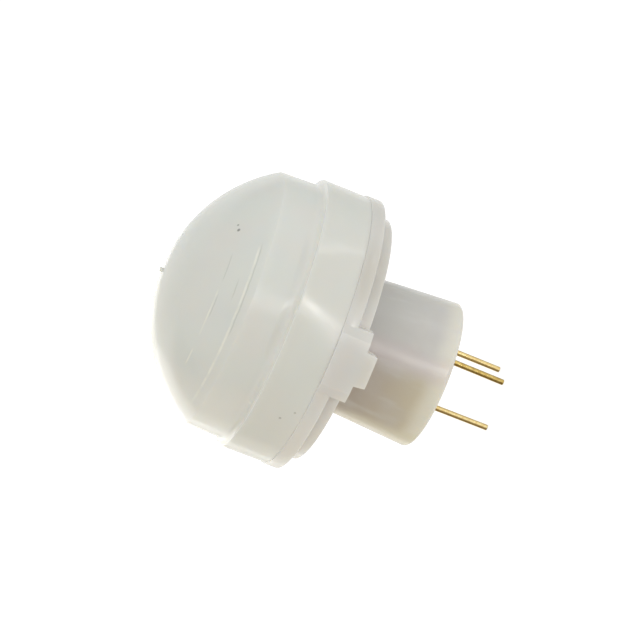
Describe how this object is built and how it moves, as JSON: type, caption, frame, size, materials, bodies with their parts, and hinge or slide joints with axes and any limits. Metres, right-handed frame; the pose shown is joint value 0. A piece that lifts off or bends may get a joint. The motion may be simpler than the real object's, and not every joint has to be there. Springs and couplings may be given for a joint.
{
  "type": "pir motion sensor",
  "caption": "Passive infrared motion sensor: a metal-can detector in a round moulded holder under a domed translucent multi-lens cap, with gold-plated leads for soldering to a board.",
  "frame": {"origin": "on the axis at the open end of the stem, the face that seats on the circuit board", "axes": "+Z along the axis towards the top of the dome; -Y towards the stepped index tab; the leads point along -Z"},
  "size_m": [0.0204, 0.0206, 0.0261],
  "materials": {
    "lens_plastic": "milky translucent polyethylene, satin",
    "holder_plastic": "milky translucent polyethylene, satin",
    "can_metal": "nickel-plated drawn steel",
    "header_metal": "gold-plated stamped base",
    "seal_glass": "dark sealing glass",
    "lead_gold": "gold plated, bright",
    "filter_silicon": "coated silicon, mirror-like",
    "black_adhesive": "cured adhesive",
    "carrier_resin": "moulded resin",
    "chip_silicon": "polished silicon",
    "capacitor_ceramic": "fired ceramic with tinned ends",
    "resistor_ceramic": "glazed film on ceramic with tinned ends",
    "joint_silver": "silver-filled adhesive",
    "element_crystal": "lapped crystal plate",
    "electrode_film": "dark absorbing metal film"
  },
  "bodies": {
    "root": {"lens_cap": "lens_plastic", "holder": "holder_plastic", "sensor_can": "can_metal", "header": "header_metal", "glass_seal_signal": "seal_glass", "glass_seal_supply": "seal_glass", "lead_signal": "lead_gold", "lead_supply": "lead_gold", "lead_ground": "lead_gold", "infrared_filter": "filter_silicon", "filter_adhesive": "black_adhesive", "circuit_carrier": "carrier_resin", "carrier_tracks": "lead_gold", "amplifier_chip": "chip_silicon", "capacitor_signal": "capacitor_ceramic", "capacitor_supply": "capacitor_ceramic", "chip_resistor": "resistor_ceramic", "bond_wires": "lead_gold", "lead_joints": "joint_silver", "pyro_element": "element_crystal", "element_electrodes": "electrode_film", "element_joints": "joint_silver"}
  },
  "joints": []
}
